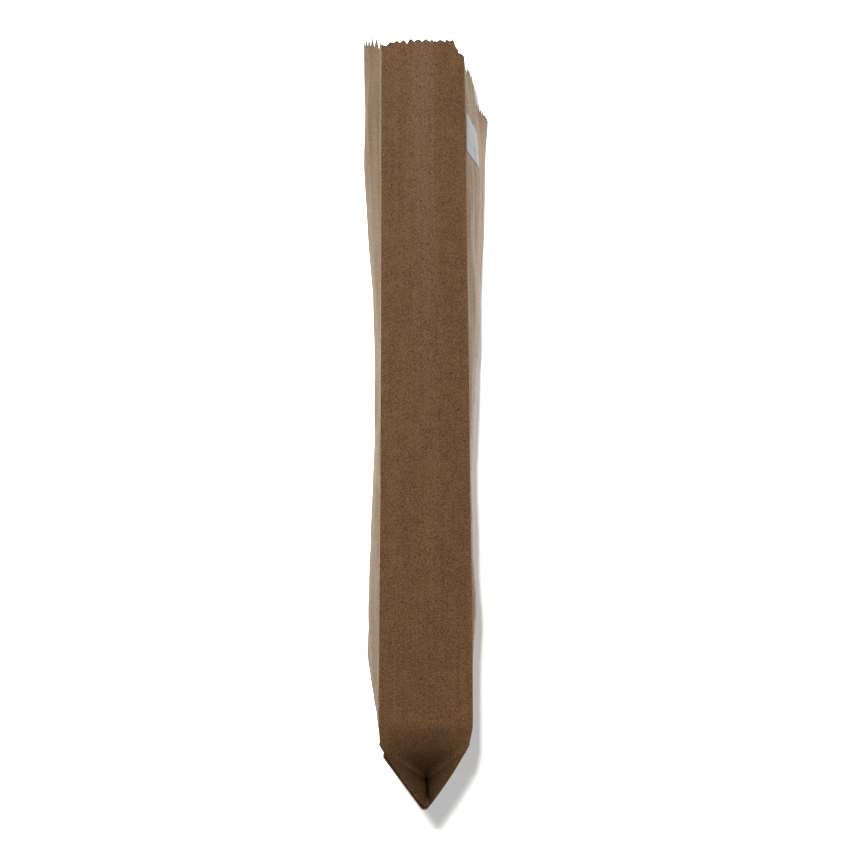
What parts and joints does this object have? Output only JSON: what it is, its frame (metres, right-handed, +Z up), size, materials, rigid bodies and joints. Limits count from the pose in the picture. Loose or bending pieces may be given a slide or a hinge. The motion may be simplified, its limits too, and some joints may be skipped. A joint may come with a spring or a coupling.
{
  "type": "paper bag",
  "caption": "Long narrow brown paper bag with side gussets, a pinched and folded bottom, a saw-cut open mouth and a blank price label, lying open and empty.",
  "frame": {"origin": "middle of the outline's box, on the surface that the bag lies on", "axes": "+Y along the bag from the pinched bottom to the open mouth, +X across it towards the labelled panel, +Z up"},
  "size_m": [0.0954, 0.5076, 0.124],
  "materials": {
    "kraft_paper": "unbleached machine-glazed brown paper, fibrous, with fine dark specks",
    "label_paper": "smooth white label paper"
  },
  "bodies": {
    "root": {"bag": "kraft_paper", "label": "label_paper"}
  },
  "joints": []
}
